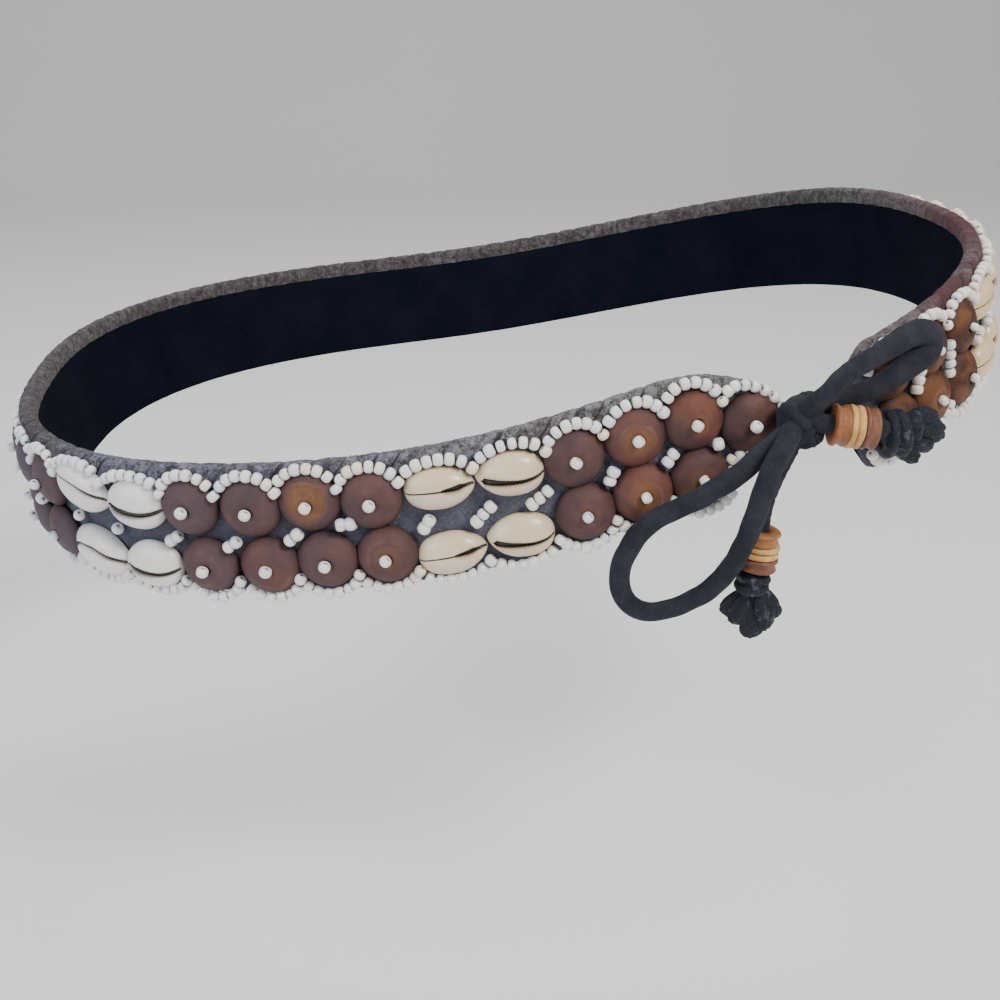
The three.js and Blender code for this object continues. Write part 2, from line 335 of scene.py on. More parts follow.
# cords
bow = dict(
    color=(0.016, 0.017, 0.024), worn=(0.03, 0.031, 0.04), sheen=0.07, loopRadius=2.7, tailRadius=2.4,
    flat=0.84, turnSwell=0.27,
    lowerLoop=[(51, -104, 4.2), (48, -104.6, 2.3), (44.4, -105.2, -1.2), (39.4, -105.3, -4.4),
               (34.4, -105.4, -7.4), (28.8, -105.4, -9.9), (23.9, -105, -12.4), (20.2, -104.1, -16),
               (17.6, -102.6, -21.2), (16, -101.6, -26.6), (16.1, -100.9, -32.2), (17.8, -100.6, -36.6),
               (20.9, -100.6, -39.5), (25.2, -100.7, -40.6), (29.9, -101.2, -39.6), (34.6, -101.8, -37.3),
               (38.8, -102.9, -34.2), (41.9, -105.1, -29.1), (43.7, -107.4, -23.7), (45.2, -109.2, -18.1),
               (46.1, -110.3, -13.4), (47.1, -110.7, -8.8), (48.3, -110.7, -3.8), (50, -110.2, 0.9)],
    upperLoop=[(63.2, -106.6, 18.2), (66.4, -104.8, 20.6), (71.4, -101.2, 22.4), (77.9, -97.8, 24.4),
               (83.2, -95.6, 26.5), (87, -94, 27.9), (90.4, -92.6, 28.8), (94.3, -91.1, 28.3),
               (96.6, -90.2, 25.6), (95, -91.1, 22.9), (91, -92.9, 21.3), (87.1, -94.5, 19.7),
               (83.6, -95.8, 18), (79.2, -97, 16.4), (74.2, -98.4, 15.2), (69.6, -99.4, 14.6)],
    lowerTail=[(56.3, -102, 1.1), (55.4, -102.2, -0.8), (53.9, -102.5, -4), (52.4, -102.5, -8.4),
               (51.7, -102.2, -12.8), (51.5, -101.8, -16.8), (51.5, -101.7, -20), (51.5, -101.7, -24.1),
               (51.5, -101.7, -28.6)],
    rightTail=[(64.9, -104.4, 10), (67.9, -104.6, 9.7), (71.5, -105, 9.3), (75.1, -105.4, 8.9),
               (78.2, -105.7, 8.6)],
    knot=(59.1, -101.2, 9.7),
)


def velvetFinish():
    f = Finish("blackVelvetCord", bow["color"], 0.95, Sheen_Weight=bow["sheen"],
               Sheen_Roughness=0.4, Sheen_Tint=(0.55, 0.6, 0.78, 1), Specular_IOR_Level=0.15)
    pile, worn = f.noise(1500, 4, 0.7), f.noise(160, 3, 0.6)
    base = f.lay(bow["color"], bow["worn"], worn, 0.35, 0.7)
    f.paint(f.lay(base, (0.06, 0.064, 0.08), pile, 0.55, 0.75, 0, 0.35))
    f.bump(pile, 0.7, 0.0006)
    f.bump(worn, 0.4, 0.0012)
    return f.material


velvet = velvetFinish()


# axes of a piece whose hole runs along a line
def threaded(z, other):
    z = z / np.linalg.norm(z)
    x = np.cross(z, other)
    x /= np.linalg.norm(x)
    return np.stack([x, np.cross(z, x), z])


# soft dents and a nap that stands up a little, different for each cord
def velvetPush(seed, depth):
    r = random.Random(seed)
    waves = [(r.uniform(3, 26), r.randint(0, 3), r.uniform(0, 6.28), r.uniform(0.4, 1.0)) for _ in range(9)]
    total = sum(w[3] for w in waves)

    def push(share, angle):
        out = np.zeros_like(angle)
        for speed, lobes, phase, weight in waves:
            out += weight * np.sin(speed * share * 6.28 + lobes * angle + phase)
        return out / total * depth * 2.4
    return push


def layCord(name, route, radius, node, seed, swell):
    line = smoothLine(route)
    for _ in range(6):
        line[1:-1] = (line[:-2] + 2 * line[1:-1] + line[2:]) / 4
    width = radius * (1 + swell * np.exp(-(((np.linspace(0, 1, len(line)) - 0.53) / 0.2) ** 4)))
    points, faces = tube(line, width, 20, velvetPush(seed, 0.13), bow["flat"], (0.15, -1.0, 0.1))
    piece = addMesh(name, points, faces, velvet, [node])


# band, lining and rim
cloth = dict(
    top=18.2, bottom=-17.5, thick=2.6, stations=420, blue=(0.156, 0.165, 0.238), pale=(0.28, 0.285, 0.37),
    weavePitch=1.1, liningDark=(0.003, 0.004, 0.009), liningPale=(0.007, 0.008, 0.015), liningThick=0.8,
    liningInset=0.9,
)


def weaveFinish():
    f = Finish("wovenBandCloth", cloth["blue"], 0.95, Sheen_Weight=0.08, Sheen_Roughness=0.6,
               Specular_IOR_Level=0.15)
    uv = f.node("TexCoord", {}, "UV")
    # the threads wander a little
    stretch, drift = (f.node("TexNoise", {"Vector": uv, "Scale": k}, "Color") for k in (3.0, 6.0))
    drift = f.node("VectorMath", {0: drift, 1: (0.05, 0.05, 0)}, operation="MULTIPLY")
    bent = f.node("VectorMath", {0: uv, 1: stretch, 2: drift}, operation="MULTIPLY_ADD")
    inputs = {"Vector": bent, "Scale": 10 / cloth["weavePitch"] / 6.28 * 2, "Distortion": 0.6}
    weave = f.math("MULTIPLY", *(f.node("TexWave", inputs, "Fac", bands_direction=way) for way in "XY"))
    fuzz, cloudy = f.noise(900, 4, 0.7), f.noise(70, 4, 0.6)
    base = f.lay(cloth["blue"], cloth["pale"], cloudy, 0.35, 0.75)
    base = f.lay(base, (0.025, 0.028, 0.045), weave, 0.0, 0.45, 0.75, 0)
    f.paint(f.lay(base, (0.3, 0.31, 0.35), fuzz, 0.55, 0.75, 0, 0.5))
    f.bump(weave, 0.8, 0.0006)
    f.bump(fuzz, 0.5, 0.0004)
    return f.material


def liningFinish():
    f = Finish("navyLining", cloth["liningDark"], 1.0, Specular_IOR_Level=0.03)
    nap = f.noise(1400, 4, 0.75)
    base = f.lay(cloth["liningDark"], cloth["liningPale"], f.noise(60, 4, 0.6), 0.3, 0.8)
    f.paint(f.lay(base, (0.022, 0.025, 0.038), nap, 0.55, 0.8, 0, 0.35))
    f.bump(nap, 0.5, 0.0004)
    return f.material


# a closed strip along the whole band from a section of (out, height) points
def stripAlong(section, stations, ripple):
    section = np.array(section)
    m = len(section)
    distance = np.repeat(np.linspace(bandStart, bandEnd, stations + 1)[:, None], m, 1)
    upper, lower = section[:, 1].max(), section[:, 1].min()
    height = upper - (upper - section[:, 1]) * (1 - slantRise(distance) / (upper - lower))
    height -= cornerDrop(distance) * np.clip((height - 9) / 8, 0, 1)
    away = section[:, 0] + ripple * np.sin(distance * 0.31 + height * 0.2) * np.sin(distance * 0.093)
    points = bandPoints(distance.ravel(), height.ravel(), away.ravel())
    faces = gridFaces(stations + 1, m, closeColumns=True).tolist()
    faces += [list(range(m))[::-1], [stations * m + j for j in range(m)]]
    around = np.tile(lengthsAlong(section), stations + 1)
    return points, faces, np.stack([distance.ravel() / 10, around / 10], 1)


def cutBand():
    top, bottom, back = cloth["top"] - 0.85, cloth["bottom"] + 0.3, -cloth["thick"]
    turn = [(-0.25, 0.5), (-0.9, 0.05), (-1.7, 0.05), (back + 0.25, 0.5)]
    section = [(0.0, h) for h in np.linspace(bottom + 1.3, top - 1.3, 9)] + [(a, top - h) for a, h in turn]
    section += [(back, h) for h in np.linspace(top - 1.3, bottom + 1.3, 7)]
    section += [(a, bottom + h) for a, h in turn[::-1]]
    points, faces, uv = stripAlong(section, cloth["stations"], 0.12)
    band = addMesh("bandCloth", points, faces, weaveFinish(), ["band"], {"uv": uv})
    front = back - 0.25
    rear = front - cloth["liningThick"]
    low, high = cloth["bottom"] + cloth["liningInset"], cloth["top"] - 1.6
    section = [(front, low), (front, high), ((front + rear) / 2, high + 0.25), (rear, high)]
    section += [(rear, h) for h in np.linspace(high - 3, low + 3, 6)]
    section += [(rear, low), ((front + rear) / 2, low - 0.25)]
    points, faces, uv = stripAlong(section, 300, 0.1)
    lining = addMesh("liningCloth", points, faces, liningFinish(), ["lining"], {"uv": uv})


cutBand()
print("band and lining cut")

yarn = dict(
    step=0.21, strand=1.15, group=7.2, slit=1.15, lean=6.4, low=11.4, backRise=1.0, round=0.17, full=0.26,
    pale=(0.275, 0.265, 0.275), dark=(0.026, 0.025, 0.034), brown=(0.11, 0.084, 0.084),
    red=(0.076, 0.016, 0.022), fluff=(0.34, 0.33, 0.35),
)


def yarnFinish():
    f = Finish("greyRimYarn", yarn["pale"], 0.95, Sheen_Weight=0.12, Sheen_Roughness=0.6,
               Specular_IOR_Level=0.1)
    tone, gap, warm, shade, cool = f.facts("tone", "gap", "warm", "shade", "cool")
    speckle, grain, patch = f.noise(430, 5, 0.9), f.noise(950, 4, 0.8), f.noise(70, 4, 0.7)
    base = f.lay(yarn["dark"], yarn["pale"], speckle, 0.42, 0.57)
    base = f.lay(base, yarn["brown"], patch, 0.5, 0.66, 0, 0.6)
    base = f.lay(base, yarn["fluff"], grain, 0.54, 0.64, 0, 0.85)
    base = f.lay(base, yarn["dark"], tone, 0.0, 0.4, 0.35, 0)
    redness = f.both(f.math("MULTIPLY", warm, 0.95), f.fade(patch, 0.35, 0.52, 0.55))
    base = f.mix(redness, base, yarn["red"])
    # painted cool light: a bluish cast on the rim round the left side
    base = f.mix(cool, base, (0.78, 0.8, 1.0), "MULTIPLY")
    # painted shade: the rim darkens round the back, where its inner side is in shadow
    base = f.mix(f.math("MULTIPLY", shade, f.fade(speckle, 0.4, 0.68, 1, 0.55)), base, (0.026, 0.019, 0.019))
    # the slits are darkened, partly the dark cloth showing through and partly painted shade
    f.paint(f.lay(base, (0.014, 0.014, 0.022), f.ragged(gap, speckle, 0.9), 0.3, 0.8, 0, 0.85))
    f.bump(speckle, 1.0, 0.0011)
    f.bump(grain, 0.7, 0.0006)
    return f.material


# a share that is full from a to b, and fades out over the lengths before and after
def between(d, a, b, before, after):
    return np.clip((d - a) / before, 0, 1) * np.clip((b - d) / after, 0, 1)


# yarn laid side by side over the rim, with a slit where each stitch pulls it in
def wrapRim():
    top, low = cloth["top"], yarn["low"]
    rng = random.Random(4)
    count = int(bandLength / yarn["step"])
    d = np.linspace(bandStart - 0.05, bandEnd + 0.05, count)
    gap, place, tone = np.zeros((3, count))
    edge, shade = bandStart, 0.5
    nextEdge = edge + yarn["strand"]
    for k in range(count):
        while d[k] > nextEdge:
            edge, nextEdge, shade = nextEdge, nextEdge + yarn["strand"] * rng.uniform(0.7, 1.35), rng.random()
        place[k] = 2 * (d[k] - edge) / (nextEdge - edge) - 1
        tone[k] = shade
    slit = bandStart + 3.0
    while slit < bandEnd:
        pinch = np.exp(-(((d - slit) / (yarn["slit"] * rng.uniform(0.35, 0.85))) ** 4))
        gap = np.maximum(gap, pinch * rng.uniform(0.4, 1))
        slit += yarn["group"] * rng.uniform(0.6, 1.3)
    relief = yarn["round"] * np.sqrt(np.clip(1 - place**2, 0, 1)) - yarn["full"] * gap
    lean = yarn["lean"] * np.clip(np.minimum(d - bandStart, bandEnd - d) / 8, 0, 1)
    # one turn over the rim, front to back: height, out of the face, lean, push up, push out
    turn = np.array([
        (low - 0.4, 0.05, 0.0, 0, 0.3), (low + 0.5, 0.42, 0.1, 0, 1), (13.4, 0.5, 0.3, 0, 1),
        (14.9, 0.52, 0.52, 0, 1), (16.3, 0.46, 0.74, 0.2, 1), (top - 0.85, 0.15, 0.88, 0.6, 0.8),
        (top - 0.35, -0.55, 0.96, 1, 0.3),
        (top - 0.2, -1.5, 1.0, 1, 0), (top - 0.25, -2.6, 1.04, 1, -0.2), (top - 0.7, -3.5, 1.08, 0.7, -0.7),
        (top - 1.8, -3.95, 1.12, 0.1, -1), (top - 3.3, -3.98, 1.2, 0, -1), (top - 4.3, -3.78, 1.26, 0, -0.3),
    ])
    m, rows = len(turn), []
    raised = yarn["backRise"] * between(d, 185, 690, 30, 50)
    for height, away, shift, up, out in turn:
        distance = d - (shift - 0.5) * lean
        wave = 0.12 * np.sin(d * 0.83) * np.sin(d * 0.217 + 1)
        wave -= (cornerDrop(distance) - raised) * np.clip((height - 12.5) / 4, 0, 1)
        rows.append(bandPoints(distance, height + relief * up + wave, away + relief * out))
    faces = gridFaces(count, m)[:, ::-1].tolist()
    faces += [list(range(m)), [(count - 1) * m + j for j in range(m)][::-1]]
    # how strongly each row of the turn darkens the slits, partly with painted shade
    front = np.clip((turn[:, 0] - 11.5) / 2.0, 0, 1) * (turn[:, 1] > -0.6) + 0.55 * (turn[:, 1] <= -0.6)
    warm = np.clip((d - 640) / 80, 0, 1) * np.clip((806 - d) / 22, 0.5, 1)
    # painted shade round the back of the rim, and painted cool light round its left side
    shade, cool = between(d, 178, 700, 30, 60) * 0.85, between(d, 70, 230, 50, 40)
    facts = {"tone": tone, "shade": shade, "cool": cool, "warm": warm}
    facts = {fact: np.repeat(values, m) for fact, values in facts.items()}
    facts["gap"] = (gap[:, None] * front).ravel()
    addMesh("rimYarn", np.stack(rows, 1).reshape(-1, 3), faces, yarnFinish(), facts=facts)


wrapRim()
print("rim wrapped")

# discs
disc = dict(
    sides=40, base=0.3, bleach=1,
    profile=[(0, 2.2), (0.95, 2.3), (1.05, 3.8), (1.22, 4.3), (1.7, 4.56), (2.7, 4.52), (3.9, 4.24),
             (5.2, 3.7), (6.3, 3), (7.1, 2.22), (7.6, 1.5), (7.78, 0.95), (7.65, 0.45), (7.1, 0.12),
             (5, 0), (0, 0)],
    brown=(0.112, 0.05, 0.042), dark=(0.05, 0.026, 0.028), red=(0.15, 0.046, 0.028), tan=(0.2, 0.096, 0.042),
    amber=(0.036, 0.012, 0.005), ring=(0.2, 0.115, 0.066), purple=(0.078, 0.06, 0.078), hole=0.155,
    # how red the front discs are, upper and lower, by panel and column; the others are mixed
    reddish={0: [(0.2, 0), (1, 0.5), (0.7, 0.8), (0.1, 0.35)],
             1: [(0.45, 0.4), (0.4, 0.5), (0.4, 0.6), (0.2, 0.3)]},
    # discs that were sewn on out of line: how far to the left and up, in mm
    nudged={(1, 1, 0): (0, 1), (1, 3, 1): (0, -0.9), (1, 2, 1): (-1.1, -0.8), (1, 1, 1): (-0.9, 0.2),
            (1, 0, 1): (-1, 0), (1, 3, 0): (1.1, 0.1), (0, 3, 0): (0.8, -0.4), (8, 0, 0): (-0.8, -0.6),
            (8, 0, 1): (-0.9, 0.3), (8, 1, 1): (-1, 1.4), (8, 2, 1): (-2.4, 1.5), (8, 1, 0): (0, 0.5),
            (8, 2, 0): (-0.6, 0.7)},
    # how much of the brown is rubbed through at the middle
    rubbed={0: [(0.2, 0), (0.75, 0.45), (0.9, 0.9), (0.15, 0.4)],
            1: [(0.3, 0.5), (1, 0.15), (0.08, 0.35), (0.5, 0.1)],
            8: [(0.6, 0.3), (0.5, 0.9), (0.3, 0.3)]},
)


def discFinish():
    f = Finish("brownDomedWood", disc["brown"], 0.62, Specular_IOR_Level=0.22,
               Coat_Weight=0.03, Coat_Roughness=0.5)
    reach, rub, tone, seed, warm, cool = f.facts("reach", "rub", "tone", "seed", "warm", "cool")
    shift = f.node("CombineXYZ", {"X": seed, "Y": f.math("MULTIPLY", seed, 3.7)})
    place = f.node("VectorMath", {0: f.node("TexCoord", {}, "Object"), 1: shift}, operation="ADD")
    cloudy, broad = f.noise(115, 4, 0.6, place), f.noise(55, 2, 0.5, place)
    fine, grain = f.noise(900, 4, 0.7, place), f.noise(260, 5, 0.65, place, 1.5)
    base = f.lay(disc["dark"], disc["brown"], cloudy, 0.3, 0.7)
    redness = f.both(f.fade(tone, 0.35, 0.9), f.fade(f.noise(85, 3, 0.5, place), 0.42, 0.6, 0.1))
    base = f.mix(redness, base, disc["red"])
    # painted cool light: a purple-grey cast where the cool fact is high
    base = f.mix(f.both(f.fade(broad, 0.34, 0.6, 0.5), cool), base, disc["purple"])
    amber = f.lay(disc["amber"], (0.14, 0.05, 0.012), cloudy, 0.44, 0.6)
    base = f.mix(f.math("MULTIPLY", warm, 0.95), base, amber)
    # rubbed middle with a soft ragged edge, a few faint rings inside it and a paler ring round it
    ragged = f.ragged(f.ragged(reach, broad, 1.15), cloudy, 0.35)
    edge = f.math("SUBTRACT", f.math("MULTIPLY", rub, 0.6), ragged)
    worn = f.both(f.fade(f.math("ADD", edge, 0.5), 0.4, 0.7, 0, 0.85), f.fade(rub, 0.05, 0.9))
    base = f.mix(worn, base, f.lay((0.145, 0.06, 0.032), disc["tan"], grain, 0.35, 0.7))
    rings = f.fade(f.math("SINE", f.math("MULTIPLY", ragged, 42.0)), 0.4, 0.95, 0, 0.45)
    base = f.mix(f.both(rings, worn), base, (0.125, 0.048, 0.024))
    rim = f.fade(f.math("ABSOLUTE", f.math("ADD", edge, 0.02)), 0.0, 0.055, 0.55, 0)
    rim = f.both(f.both(rim, f.fade(cloudy, 0.44, 0.58)), f.fade(rub, 0.3, 0.9, 0, 0.8))
    base = f.mix(rim, base, disc["ring"])
    # pale arcs of painted highlight on parts of the shoulder, a little dust, and darker towards the outer
    # edge
    arc = f.fade(f.math("ABSOLUTE", f.math("SUBTRACT", ragged, 0.6)), 0.0, 0.12, 0.5, 0)
    base = f.mix(f.both(arc, f.fade(cloudy, 0.52, 0.66, 0, 0.7)), base, (0.185, 0.11, 0.092))
    base = f.lay(base, (0.19, 0.12, 0.11), fine, 0.6, 0.78, 0, 0.16)
    base = f.lay(base, (0.034, 0.018, 0.018), reach, 0.8, 1.0, 0, 0.5)
    # painted shade: the hole is painted near black
    f.paint(f.lay(base, (0.018, 0.01, 0.01), reach, disc["hole"], disc["hole"] + 0.02, 0.95, 0))
    f.paint(f.fade(cloudy, 0.2, 0.8, 0.54, 0.7), "Roughness")
    f.bump(grain, 0.35, 0.0005)
    f.bump(fine, 0.35, 0.0003)
    return f.material


# every disc on the band: panel, column, row, distance and height
def discPlaces(group):
    for column in range(columnsOf(group)):
        for row in (0, 1):
            left, up = disc["nudged"].get((group, column, row), (0.0, 0.0))
            distance = group * period + (column + 0.5) * pitch
            height = belt["discRow"] * (1 if row == 0 else -1)
            # the slanted corner has no room for a lower disc
            if row == 0 or distance > pitch:
                yield column, row, distance + left, height + up


def setDiscs():
    points, faces = lathe(disc["profile"], disc["sides"])
    reach = np.hypot(points[:, 0], points[:, 1]) / 7.75
    finish = discFinish()
    rng = random.Random(8)
    for group in range(panels):
        places, looks = [], []
        for column, row, distance, height in discPlaces(group):
            place, axes = seat(distance, height, disc["base"])
            spin = rng.uniform(0, 6.28)
            size = 1 + rng.uniform(-0.012, 0.012)
            places.append((place, turned(spin) @ axes, (size, size, 1 + rng.uniform(-0.05, 0.04))))
            rub, tone = rng.choice([0.05, 0.1, 0.2, 0.35, 0.6, 0.9]), rng.random()
            if group in disc["rubbed"]:
                rub = disc["rubbed"][group][column][row]
            if group in disc["reddish"]:
                tone = disc["reddish"][group][column][row]
            # the wood is redder close to the knot and amber to the right of it; the greyer, bluer cast round
            # the left side and the back is painted cool light
            warm = 0.9 if distance > discsLength - 50 else max(0.0, 0.3 - distance / 180)
            cool = min(0.6, max(0.15, (distance - 60) / 190))
            cool = 0.5 if distance >= 420 else 1.0 if distance > 172 else cool
            looks.append((rub, tone, rng.random() * 5, warm, cool))
        made, madeFaces = stamp(points, faces, places)
        facts = dict(zip(("rub", "tone", "seed", "warm", "cool"), np.repeat(looks, len(points), 0).T.copy()))
        facts["reach"] = np.tile(reach, len(places))
        name, node = f"discPanel{group + 1}", f"disc_panel_{group + 1}"
        addMesh(name, made, madeFaces, finish, [node], facts)


setDiscs()
print("discs set")

# cowrie shells
shell = dict(
    halfLength=8.6, halfWidth=5.65, height=5, base=0.3, along=72, across=50, cream=(0.66, 0.54, 0.38),
    white=(0.76, 0.68, 0.55), paintedShadeRose=(0.62, 0.52, 0.47), stain=(0.2, 0.095, 0.03), slit=(0.014, 0.008, 0.005),
    warmCream=(0.67, 0.475, 0.235), coolWhite=(0.77, 0.78, 0.81), old=(0.6, 0.54, 0.44),
    # shells out of line, by group and place (right top and bottom, left top and bottom):
    # turn in degrees, lift in mm, length and width
    askew={(0, 0): (0, -0.2, 1, 1.04), (0, 2): (5, 0, 1.02, 1), (0, 3): (9, -0.8, 1.03, 1.02),
           (1, 0): (-3, -0.5, 1.02, 1.2), (1, 1): (-1, -0.6, 1, 1.14), (1, 2): (-13, 1.2, 1.12, 1.2),
           (1, 3): (-8, -0.4, 1.22, 1.22)},
    # the mouth: place along the shell, height of its line (mm), half its width (mm)
    leftMouth=[(-1, -0.45, 0.1), (-0.54, 0.02, 0.1), (0, 0.12, 0.13), (0.14, 0.12, 0.42),
               (0.4, 0.25, 0.66), (0.56, 0.52, 0.72), (0.68, 0.66, 0.45), (0.82, 0.72, 0.38),
               (1, 0.7, 0.34)],
    highMouth=[(-1, 0.5, 0.3), (-0.78, 1.2, 0.3), (-0.54, 1.9, 0.18), (-0.25, 2, 0.18), (0, 1.9, 0.26),
               (0.4, 1.4, 0.42), (0.68, 1.1, 0.42), (1, 0.8, 0.34)],
    archedMouth=[(-1, -1.5, 0.3), (-0.8, 0, 0.3), (-0.54, 1.6, 0.2), (-0.25, 2, 0.24),
                 (0, 2.05, 0.38), (0.4, 1.3, 0.46), (0.68, 1.15, 0.42), (1, 0.75, 0.34)],
    rightMouth=[(-1, -0.7, 0), (-0.84, -0.85, 0.04), (-0.76, -0.98, 0.78), (-0.6, -1.15, 0.84),
                (-0.3, -1.42, 0.72), (0.05, -1.55, 0.56), (0.35, -1.45, 0.48), (0.65, -1.02, 0.4),
                (0.85, -0.5, 0.36), (1, -0.05, 0.34)],
)


def shellFinish():
    f = Finish("creamCowrie", shell["cream"], 0.3, Coat_Weight=0.22, Coat_Roughness=0.18,
               Specular_IOR_Level=0.45)
    slit, lip, tone, side, warm, cool = f.facts("slit", "lip", "tone", "side", "warm", "cool")
    base = f.lay(shell["cream"], shell["white"], f.noise(90, 3, 0.6), 0.3, 0.75)
    # painted shade: the lower side of each shell turns pinkish grey
    base = f.lay(base, shell["paintedShadeRose"], side, 0.0, 0.55, 0.75, 0)
    # tone ages the shells and warm yellows them; cool is painted cool light
    for fact, share, color in ((tone, 0.35, "old"), (warm, 0.8, "warmCream"), (cool, 0.75, "coolWhite")):
        base = f.mix(f.math("MULTIPLY", fact, share), base, shell[color])
    base = f.lay(base, shell["stain"], lip, 0.12, 0.95, 0, 0.85)
    # painted shade: the mouth's slit is painted near black
    f.paint(f.lay(base, shell["slit"], slit, 0.25, 0.6))
    f.bump(f.noise(400, 3, 0.6), 0.12, 0.0003)
    return f.material


# one shell: the two of a pair taper towards each other, and their mouths differ
def carveShell(pairSide, seed, mouth):
    r = random.Random(seed)
    u = -np.cos(np.linspace(0, np.pi, shell["along"]))[:, None]
    q = np.linspace(-1, 1, shell["across"] + 1)
    theta = np.sign(q) * np.abs(q) ** 1.8 * math.radians(104)
    blunt = np.clip(1 - np.abs(u) ** 2.5, 0, 1) ** 0.48
    taper = np.clip(1 - np.abs(u) ** 1.9, 0, 1) ** 0.66
    half = np.where((u < 0) == (pairSide == "left"), blunt, taper) * shell["halfWidth"]
    half = half * r.uniform(0.97, 1.02)
    tall = np.clip(1 - np.abs(u) ** 2.7, 0, 1) ** 0.5 * shell["height"] * r.uniform(0.95, 1.02)
    along, line, wide = np.array(shell[mouth]).T
    line = np.interp(u[:, 0], along, line) + r.uniform(-0.15, 0.15)
    line = np.convolve(np.pad(line, 2, mode="edge"), np.ones(5) / 5, mode="valid")[:, None]
    gape = np.interp(u, along, wide) * r.uniform(0.9, 1.1)
    fade = np.clip(1 - np.abs(u) ** 18, 0, 1)
    y = half * np.sin(theta) + line * (1 - np.abs(np.sin(theta))) * fade
    z = tall * (np.cos(theta) + 0.24) / 1.24
    d = np.abs(y - line * fade) * np.where(np.cos(theta) > 0, 1, 9)
    teeth = np.cos(2 * np.pi * 13 * u + 0.6 * np.sin(5 * u))
    depth = np.exp(-((d / (gape + 0.12)) ** 4)) * np.clip(gape / 0.5, 0.15, 1) * np.clip(tall / 4, 0, 1)
    ridges = 0.1 * teeth * np.exp(-((d / 1.2) ** 2))
    z = z - (1.7 * depth + 0.3 * np.exp(-((d / 1.5) ** 2)) - ridges) * fade
    # where painted shade fills the mouth's slit
    slit = np.clip(1.35 - d / (gape * (1 + 0.16 * teeth) + 0.09), 0, 1) * fade * (gape > 0.03)
    stain = (0.35 + 0.65 * np.clip(gape / 0.5, 0, 1)) * (0.72 - 0.28 * teeth) * fade
    lip = np.exp(-((d / (gape * 1.7 + 0.22)) ** 2)) * stain
    x = np.broadcast_to(u * shell["halfLength"], y.shape)
    points = np.stack([x, y, np.maximum(z, 0)], -1).reshape(-1, 3)
    # how far up across the shell a point lies, for the painted shade on its lower side
    side = np.clip(0.5 + y / 9, 0, 1)
    return points, gridFaces(*y.shape), {"slit": slit.ravel(), "lip": lip.ravel(), "side": side.ravel()}


def layShells():
    finish = shellFinish()
    number = 0
    for group in range(panels - 1):
        start = (group + 1) * period - (belt["shellGroup"] + belt["shellPitch"]) / 2
        # yellowed shells in front and at the right; the whiter, bluer ones round the left side are painted
        # cool light
        warm, cool = {7: (0.9, 0.0), 0: (0.34, 0.0), 1: (0.0, 0.9)}.get(group, (0.2, 0.3))
        for which in range(4):
            number += 1
            pairSide = "right" if which < 2 else "left"
            mouth = {(1, 2): "highMouth", (1, 3): "archedMouth"}.get((group, which), pairSide + "Mouth")
            points, faces, facts = carveShell(pairSide, number, mouth)
            height = belt["shellBottom" if which % 2 else "shellTop"]
            more, lift, long, broad = shell["askew"].get((group, which), (0, 0, 1.0, 1.0))
            lean = math.radians(belt["shellLean"][group] + more)
            place, axes = seat(start + (which // 2) * belt["shellPitch"], height + lift, shell["base"], True)
            made, madeFaces = stamp(points, faces, [(place, turned(lean) @ axes, (long, broad, 1.0))])
            for fact, value in (("tone", random.Random(number * 7).random()), ("warm", warm), ("cool", cool)):
                facts[fact] = np.full(len(points), value)
            name, node = f"cowrieShell{number}", f"cowrie_{number}"
            addMesh(name, made, madeFaces, finish, [node], facts)


layShells()
print("shells laid")

# seed beads
bead = dict(
    radius=1.56, halfLength=1.24, hole=0.34, sides=12, white=(0.8, 0.78, 0.75), cool=(0.7, 0.72, 0.78),
    warm=(0.8, 0.71, 0.6), discCrest=8.95, discValley=4.2, shellCrest=7.5, shellValley=4.3, perArc=7,
    stitchScale=1.08, centreScale=1.01, farScale=0.9, bottomDrop=0.65, frontRaise=1.1,
    corner=[(15.6, -10.7), (14.6, -8.2), (14.0, -5.8), (13.7, -3.3), (11.4, -2.0), (8.8, -1.3), (6.1, -0.9),
            (3.6, 0.3), (1.5, 2.1), (-0.1, 4.3)],
)


def beadFinish():
    f = Finish("whiteSeedBead", bead["white"], 0.28, Coat_Weight=0.3, Coat_Roughness=0.15,
               Subsurface_Weight=0.0)
    tone, hole = f.facts("tone", "hole")
    # tone runs from bluish through white to yellowish; its drift across the belt is painted light
    base = f.lay(bead["cool"], bead["white"], tone, 0.0, 0.45)
    base = f.lay(base, bead["warm"], tone, 0.8, 1.0)
    base = f.lay(base, (0.45, 0.42, 0.4), f.noise(500, 3, 0.6), 0.55, 0.8, 0, 0.35)
    # painted shade in the hole, over the thread that fills it
    f.paint(f.lay(base, (0.2, 0.18, 0.19), hole, 0.4, 0.9))
    f.bump(f.noise(900, 2, 0.5), 0.1, 0.0002)
    return f.material


beadWhite = beadFinish()


def beadShape():
    r, l, hole = bead["radius"], bead["halfLength"], bead["hole"]
    # half of the outline, from the middle to the thread that fills the hole, and how much painted shade
    # darkens its rings
    half = [(r, 0.0), (r * 0.93, 0.55), (r * 0.72, 0.9), (hole + 0.25, 0.97), (hole, 0.7), (0.04, 0.64)]
    profile = [(x, -l * z) for x, z in half[:0:-1]] + [(x, l * z) for x, z in half]
    points, faces = lathe(profile, bead["sides"], True)
    return points, faces, np.repeat([0.8, 0.9, 0.3, 0, 0, 0, 0, 0, 0.3, 0.9, 0.8], bead["sides"])


beadPoints, beadFaces, beadHoles = beadShape()


